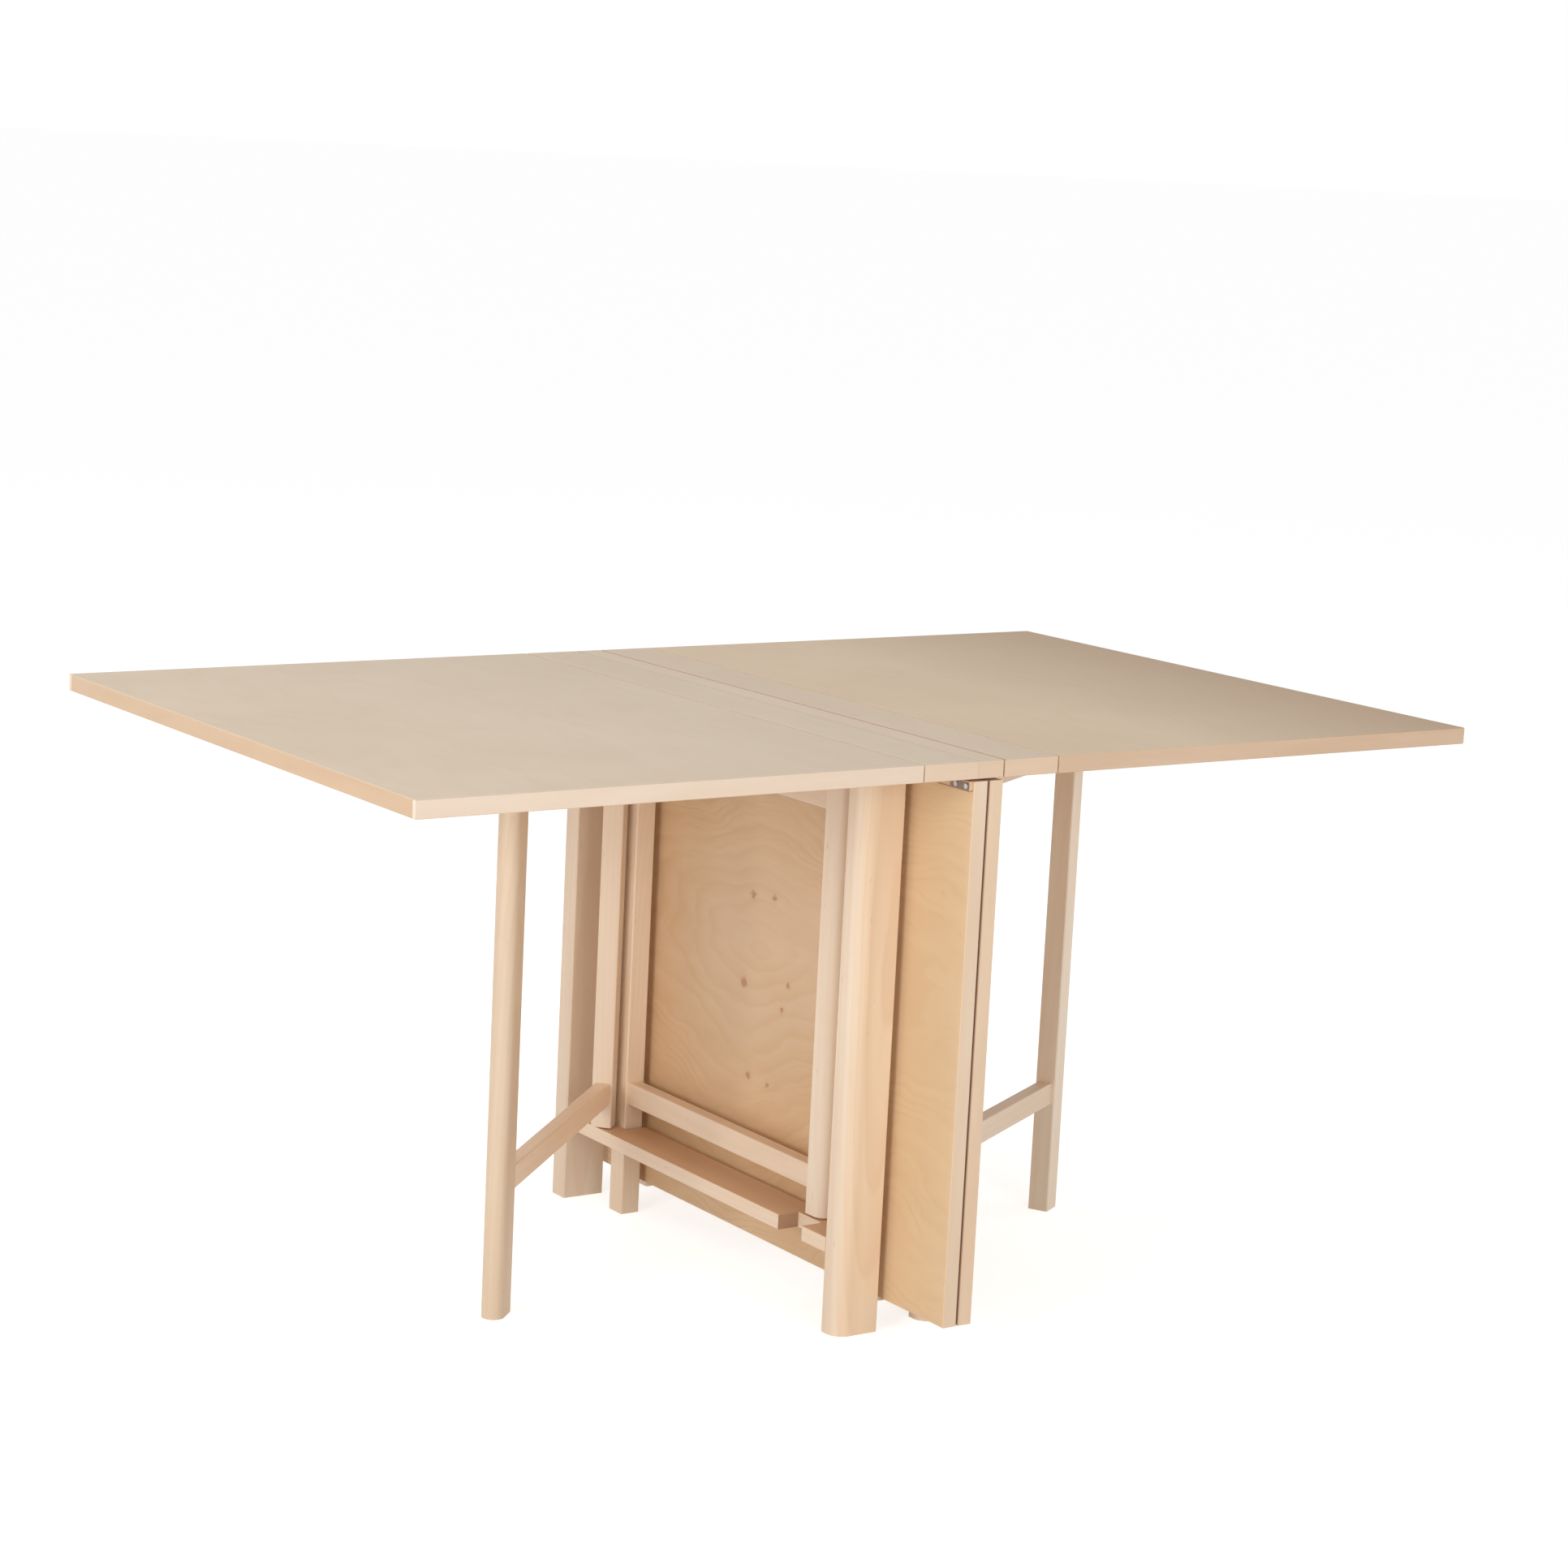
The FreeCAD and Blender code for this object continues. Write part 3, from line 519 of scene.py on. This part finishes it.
def jointed(tree, place, colour):
    """Draws painted shade along the joints between the parts of the top, on the edges only at the
    glued one.
    """
    parts = axes(tree, place)
    on_edge = ranged(tree, parts["Z"], *EDGE_BELOW, most=0.01)
    for x, width, amount, glued in JOINTS:
        away = worked_out(tree, "ABSOLUTE", worked_out(tree, "SUBTRACT", parts["X"], x))
        if not glued:
            away = worked_out(tree, "ADD", away, on_edge)
        colour = stained(tree, colour, away, width, width * 0.7, amount, JOINT_SHADE)
    return colour


def veneered(node, sheet):
    """Dresses a panel in its two sheets of lacquered veneer."""
    material, tree, place = new_finish("veneer_" + node)
    colour, fibre = sheet_colour(tree, place, sheet)
    if sheet["across"] == "Z":
        colour = jointed(tree, place, colour)
    lacquered(tree, colour, fibre)
    dress(node, material)


BACK_LIGHT = (0.77, 0.53, 0.315)
BACK_DARK = (0.63, 0.395, 0.205)
BACK_HEART = (0.66, 0.50, 0.365)
SHEET_CHANGE = 0.0005
# Painted shade: the top darkens and warms towards its right end, where its sheen is weaker
FAR_X = (0.34, 0.76)
FAR_PAINTED_SHADE = (0.37, 0.215, 0.09)
# Painted light: the left inner leaf grows paler towards its front edge, its middle being shaded by
# the frames
NEAR_Y = (-0.305, -0.345)
NEAR_PAINTED_LIGHT = (0.87, 0.65, 0.39)
KNOT_GRAIN = (150.0, 150.0, 150.0)
KNOT_TEAR = (0.0, 0.012, 0.009)
# Each ring's outer and inner share of the knot's size, its strength and its colour
KNOT_RINGS = (
    (1.6, 0.5, 0.25, (0.62, 0.38, 0.22)),
    (0.62, 0.30, 0.80, (0.44, 0.20, 0.10)),
)
OUTER_SEAM = 0.0975
GLUED_SEAM = -0.0195
MIDDLE_SEAM = 0.0175
# Each joint's X, half width and strength, and whether it is glued
JOINTS = (
    (-OUTER_SEAM, 0.0014, 0.40, False),
    (GLUED_SEAM, 0.0006, 0.30, True),
    (MIDDLE_SEAM, 0.0024, 0.70, False),
    (OUTER_SEAM, 0.0015, 0.32, False),
)
# Painted shade along the seams, where the gaps lie in shadow
JOINT_SHADE = (0.40, 0.235, 0.15)
# The height where the top's face gives way to its edges, on which real gaps show the seams
EDGE_BELOW = (0.7187, 0.7180)
TOP_Z = 0.72
TOP_THICK = 0.021
FACE_LIGHT = (0.665, 0.535, 0.390)
FACE_DARK = (0.575, 0.440, 0.300)
top_sheet = {
    "order": "YZX", "across": "Z", "facing": 1,
    "middle": TOP_Z - TOP_THICK / 2, "half": TOP_THICK / 2,
    "light": FACE_LIGHT, "dark": FACE_DARK, "far": 0, "near": 0,
    "spacing": 0.045, "swirl": 0.16, "clouds": 0.35, "heart": 0,
    "contours": 0.22, "lines": 0.10, "ripple": 0.16, "knots": (),
}
sheets = {
    "left_outer_leaf": {**top_sheet, "centre": (-0.50, 0.12, TOP_Z)},
    "left_board": {**top_sheet, "centre": (-0.20, -0.30, TOP_Z)},
    # The right board and right outer leaf are a little darker and warmer: partly a warmer sheet,
    # partly painted shade for the weaker sheen at the right
    "right_board": {
        **top_sheet, "centre": (0.20, 0.25, TOP_Z),
        "light": (0.655, 0.515, 0.365), "dark": (0.57, 0.425, 0.283),
    },
    "right_outer_leaf": {
        **top_sheet, "centre": (0.52, 0.20, TOP_Z),
        "light": (0.690, 0.520, 0.340), "dark": (0.61, 0.435, 0.268), "far": 0.76,
    },
}
for node, sheet in sheets.items():
    veneered(node, sheet)


# --- Inner leaves -------------------------------------------------------------------------------
# Two panels hanging back to back between the halves. Their undersides are outermost, faced with
# the warmer peeled veneer, which has bold contours and a scatter of pin knots.
LEAF_THICK = 0.020
LEFT_FACE_X = -0.0245
RIGHT_FACE_X = 0.0175
leaf_sheet = {
    "order": "YXZ", "across": "X", "half": LEAF_THICK / 2,
    "light": FACE_LIGHT, "dark": FACE_DARK, "far": 0,
    "spacing": 0.026, "swirl": 0.12, "clouds": 0.40, "heart": 0.45,
    "contours": 0.52, "lines": 0.75, "ripple": 0.26,
}
# Each knot's Y, Z and size
left_knots = (
    (-0.010, 0.475, 0.010),
    (-0.057, 0.480, 0.008),
    (0.002, 0.359, 0.014),
    (-0.096, 0.375, 0.008),
    (-0.085, 0.342, 0.007),
    (-0.018, 0.242, 0.010),
    (-0.060, 0.239, 0.007),
)
right_knots = (
    (0.05, 0.50, 0.010),
    (0.22, 0.22, 0.009),
    (0.16, 0.24, 0.008),
)
for node, face_x, facing, (y, z), near, knots in (
    ("inner_leaf_left", LEFT_FACE_X, 1, (-0.034, 0.40), 0.4, left_knots),
    ("inner_leaf_right", RIGHT_FACE_X, -1, (0.18, 0.30), 0, right_knots),
):
    sheets[node] = {
        **leaf_sheet, "centre": (face_x, y, z), "facing": facing, "near": near,
        "middle": face_x + facing * LEAF_THICK / 2,
        "knots": tuple(((face_x, y, z), size) for y, z, size in knots),
    }
    veneered(node, sheets[node])


# --- Lipping -------------------------------------------------------------------------------------
# Solid birch strips glued round every panel, and the wider strip along the left board's inner
# edge. Each strip's grain runs along its edge; the broad faces are toned with the veneer.
ALONG = (1, 0, 0)
END_STRIP_FROM = 0.4438
END_FACE_FROM = 0.4475
FLUSH = 0.0009
# How far off a leaf's middle its end face takes painted shade, beside the gap between the two
# leaves
GAP_SIDE = (0.0086, 0.0092)
GAP_SHADE = (0.34, 0.16, 0.09)
BOARD_SIDES = ((0.84, 0.65, 0.47), (0.75, 0.53, 0.35))
LEAF_SIDES = ((0.80, 0.60, 0.42), (0.71, 0.49, 0.32))
# Each strip's end and side tones, light and dark, are partly painted light: the front strips grow
# darker from left to right as the light falls off
for node, panel, (end_light, end_dark), (side_light, side_dark) in (
    ("left_outer_leaf_lipping", "left_outer_leaf",
     ((0.87, 0.71, 0.57), (0.80, 0.61, 0.45)), ((0.635, 0.44, 0.275), (0.57, 0.375, 0.225))),
    ("left_board_lipping", "left_board", ((0.85, 0.67, 0.51), (0.77, 0.565, 0.39)), BOARD_SIDES),
    ("left_lip_strip", "left_board", ((0.84, 0.65, 0.48), (0.75, 0.54, 0.37)), BOARD_SIDES),
    ("right_board_lipping", "right_board", ((0.83, 0.63, 0.46), (0.75, 0.53, 0.36)), BOARD_SIDES),
    ("right_outer_leaf_lipping", "right_outer_leaf",
     ((0.745, 0.54, 0.375), (0.66, 0.445, 0.285)), ((0.80, 0.59, 0.41), (0.71, 0.49, 0.31))),
    ("inner_leaf_left_lipping", "inner_leaf_left",
     ((0.86, 0.68, 0.51), (0.77, 0.56, 0.38)), LEAF_SIDES),
    ("inner_leaf_right_lipping", "inner_leaf_right",
     ((0.85, 0.65, 0.46), (0.76, 0.53, 0.35)), LEAF_SIDES),
):
    sheet = sheets[panel]
    material, tree, place = new_finish("lipping_" + node)
    parts = axes(tree, place)
    if sheet["across"] == "Z":
        end_grain = grain_line(tree, place, ALONG, (0.1, 0.47, 0.74))
    else:
        end_grain = grain_line(tree, place, UPRIGHT, (-0.01, 0.47, 0.30))
    side_grain = grain_line(tree, place, ACROSS, (0.03, -0.10, 0.73))
    off_centre = worked_out(tree, "ABSOLUTE", parts["Y"])
    at_end = worked_out(tree, "GREATER_THAN", off_centre, END_STRIP_FROM)
    grain = tree.nodes.new("ShaderNodeMix")
    grain.data_type = "VECTOR"
    for socket, value in (("Factor", at_end), ("A", side_grain), ("B", end_grain)):
        tree.links.new(value, grain.inputs[socket])
    light = stained(tree, side_light, at_end, 0.0, 1.0, 1.0, end_light)
    dark = stained(tree, side_dark, at_end, 0.0, 1.0, 1.0, end_dark)
    solid, fibre = birch_colour(tree, grain.outputs["Result"], light, dark, 0.010, 0.05, 0.30)
    flush, _ = sheet_colour(tree, place, sheet)
    off_middle = worked_out(tree, "SUBTRACT", parts[sheet["across"]], sheet["middle"])
    depth = worked_out(tree, "ABSOLUTE", off_middle)
    low, high = sheet["half"] - FLUSH, sheet["half"] - FLUSH / 2
    colour = stained(tree, solid, depth, low, high, 0.88, flush)
    if sheet["across"] == "Z":
        colour = jointed(tree, place, colour)
    else:
        on_end = worked_out(tree, "GREATER_THAN", off_centre, END_FACE_FROM)
        by_gap = worked_out(tree, "MULTIPLY", on_end, off_middle)
        low, high = (sheet["facing"] * limit for limit in GAP_SIDE)
        colour = stained(tree, colour, by_gap, low, high, 0.75, GAP_SHADE)
    lacquered(tree, colour, fibre)
    dress(node, material)

# The two battens screwed to the left inner leaf's upper corners, with painted shade underneath
BATTEN_SHADE_Z = (0.6862, 0.6850)
material, tree, place = new_finish("birch_leaf_battens")
grain = grain_line(tree, place, ACROSS, (-0.03, -0.1, 0.66))
colour, fibre = birch_colour(tree, grain, (0.74, 0.52, 0.34), (0.64, 0.42, 0.26))
height = axes(tree, place)["Z"]
colour = stained(tree, colour, height, *BATTEN_SHADE_Z, 0.8, (0.30, 0.15, 0.07))
lacquered(tree, colour, fibre)
dress("leaf_battens", material)


# --- Hinges and pins -----------------------------------------------------------------------------
# Pressed steel butt hinges with interleaved barrels, pivot pins and concealed hinges, all zinc
# plated, dull grey with a faint brushed grain. The battens' plates are bronzed.
def plated(name, dark, light):
    """Dull plated steel between two tones, brushed along the table's width."""
    material, tree, place = new_finish(name)
    plating = tree.nodes["Principled BSDF"]
    plating.inputs["Metallic"].default_value = 1.0
    scratches = mottle(tree, place, (900, 60, 900), 4.0)
    tone = stained(tree, dark, scratches, 0.0, 1.0, 1.0, light)
    tree.links.new(tone, plating.inputs["Base Color"])
    dullness = ranged(tree, scratches, 0.0, 1.0, *BRUSHED)
    tree.links.new(dullness, plating.inputs["Roughness"])
    return material


BRUSHED = (0.28, 0.50)
zinc = plated("zinc_plate", (0.50, 0.51, 0.52), (0.70, 0.70, 0.69))
dull_zinc = plated("dull_zinc_plate", (0.33, 0.34, 0.35), (0.50, 0.50, 0.49))
for node in nodes:
    if "screws" in node:
        dress(node, zinc)
    elif any(word in node for word in ("plates", "pins", "concealed")):
        dress(node, dull_zinc)
dress("leaf_batten_plates", plated("bronzed_plate", (0.20, 0.155, 0.125), (0.34, 0.27, 0.22)))


# --- Screws ---------------------------------------------------------------------------------------
# Zinc plated wood screws with cross recesses. Those in the hinge plates are countersunk and
# flush. Those on the battens' steel plates have low pan heads that stand proud.
SHANK_R = 0.0019
RECESS_ARM = 0.0021
RECESS_W = 0.0009
RECESS_H = 0.0026
RECESS_TAPER = (0.45, 0.6, 1)
POINT_TAPER = (0.15, 0.15, 1)
FIRST_TURN = 23
NEXT_TURN = 37


def pick(mesh, wanted):
    """Selects only the faces that are wanted, in edit mode."""
    shape = bmesh.from_edit_mesh(mesh)
    for each in shape.faces:
        each.select_set(wanted(each))
    shape.select_flush_mode()
    bmesh.update_edit_mesh(mesh)


def wood_screw(name, head, rim, cone, crown, length):
    """A screw standing head up, the top of its head at the origin."""
    bpy.ops.object.select_all(action="DESELECT")
    bpy.ops.mesh.primitive_cylinder_add(
        vertices=20, radius=head, depth=rim, location=(0, 0, -crown - rim / 2))
    screw = bpy.context.object
    screw.name = name
    bpy.ops.object.transform_apply(location=True, rotation=True, scale=True)
    bpy.ops.object.mode_set(mode="EDIT")
    if crown:
        pick(screw.data, lambda each: each.normal.z > 0.9)
        for inward, rise in ((0.22, 0.62), (0.30, 0.30), (0.22, 0.08)):
            bpy.ops.mesh.inset(thickness=head * inward, depth=crown * rise)
    pick(screw.data, lambda each: each.normal.z < -0.9)
    bpy.ops.mesh.inset(thickness=head - SHANK_R, depth=cone)
    for share in (0.8, 0.2):
        bpy.ops.mesh.extrude_region_move(
            TRANSFORM_OT_translate={"value": (0, 0, -length * share)})
    bpy.ops.transform.resize(value=POINT_TAPER, center_override=(0, 0, 0))
    bpy.ops.object.mode_set(mode="OBJECT")
    for turn in (0, 90):
        bpy.ops.object.select_all(action="DESELECT")
        bpy.ops.mesh.primitive_cube_add(
            size=1, scale=(2 * RECESS_ARM, RECESS_W, RECESS_H), location=(0, 0, 0))
        punch = bpy.context.object
        bpy.ops.object.transform_apply(location=False, rotation=False, scale=True)
        bpy.ops.object.mode_set(mode="EDIT")
        pick(punch.data, lambda each: each.normal.z < -0.9)
        bpy.ops.transform.resize(value=RECESS_TAPER, center_override=(0, 0, 0))
        bpy.ops.object.mode_set(mode="OBJECT")
        punch.rotation_euler = (0, 0, math.radians(turn))
        bpy.context.view_layer.objects.active = screw
        recess = screw.modifiers.new("recess", "BOOLEAN")
        recess.operation = "DIFFERENCE"
        recess.solver = "EXACT"
        recess.object = punch
        bpy.ops.object.modifier_apply(modifier="recess")
        bpy.data.objects.remove(punch)
    screw.select_set(True)
    bpy.ops.object.shade_smooth_by_angle(angle=math.radians(32))
    screw.data.materials.append(zinc)
    return screw


def driven(screw, piece_name, places, outward, body, node):
    """Sets copies of a screw, heads outward, as one piece that stands for a node."""
    copies = []
    for number, place in enumerate(places):
        copy = screw.copy()
        copy.data = screw.data.copy()
        scene.collection.objects.link(copy)
        turn = Quaternion(UPRIGHT, math.radians(FIRST_TURN + NEXT_TURN * number))
        copy.rotation_euler = (Vector(outward).to_track_quat("Z", "Y") @ turn).to_euler()
        copy.location = place
        copies.append(copy)
    bpy.ops.object.select_all(action="DESELECT")
    for copy in copies:
        copy.select_set(True)
    bpy.context.view_layer.objects.active = copies[0]
    bpy.ops.object.transform_apply(location=True, rotation=True, scale=True)
    bpy.ops.object.join()
    piece = bpy.context.object
    piece.name = piece_name
    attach(piece, body)
    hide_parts(node)


flush_screw = wood_screw(
    "flush_screw", head=0.0034, rim=0.0002, cone=0.0013, crown=0, length=0.0115)
pan_screw = wood_screw(
    "pan_screw", head=0.0032, rim=0.0009, cone=0, crown=0.0011, length=0.0160)
HINGE_YS = (-0.412, -0.372, 0.372, 0.412)
BATTEN_YS = (-0.4425, -0.4225, 0.4225, 0.4425)
PLATE_Z = 0.6974
BOARD_SCREW_X = 0.0833
LEAF_SCREW_X = 0.1117
INNER_HINGE_X = 0.02685
HANGING_X, HANGING_Z = 0.0191, 0.679
BATTEN_X, BATTEN_Z = -0.0325, 0.690
DOWN = (0, 0, -1)
LEFT = (-1, 0, 0)
for screw, name, places, outward, body, node in (
    (flush_screw, "left_board_flush_screws",
     [(-BOARD_SCREW_X, y, PLATE_Z) for y in HINGE_YS], DOWN, "left_frame", "left_board_screws"),
    (flush_screw, "left_leaf_flush_screws",
     [(-LEAF_SCREW_X, y, PLATE_Z) for y in HINGE_YS], DOWN,
     "left_outer_leaf", "left_outer_leaf_screws"),
    (flush_screw, "right_board_flush_screws",
     [(x, y, PLATE_Z) for x in (BOARD_SCREW_X, INNER_HINGE_X) for y in HINGE_YS], DOWN,
     "right_frame", "right_board_screws"),
    (flush_screw, "right_leaf_flush_screws",
     [(LEAF_SCREW_X, y, PLATE_Z) for y in HINGE_YS], DOWN,
     "right_outer_leaf", "right_outer_leaf_screws"),
    (flush_screw, "inner_leaf_flush_screws",
     [(HANGING_X, y, HANGING_Z) for y in HINGE_YS], ALONG,
     "inner_leaves", "inner_hinge_leaf_screws"),
    (pan_screw, "batten_pan_screws",
     [(BATTEN_X, y, BATTEN_Z) for y in BATTEN_YS], LEFT, "inner_leaves", "leaf_batten_screws"),
):
    driven(screw, name, places, outward, body, node)
for pattern in (flush_screw, pan_screw):
    bpy.data.objects.remove(pattern)
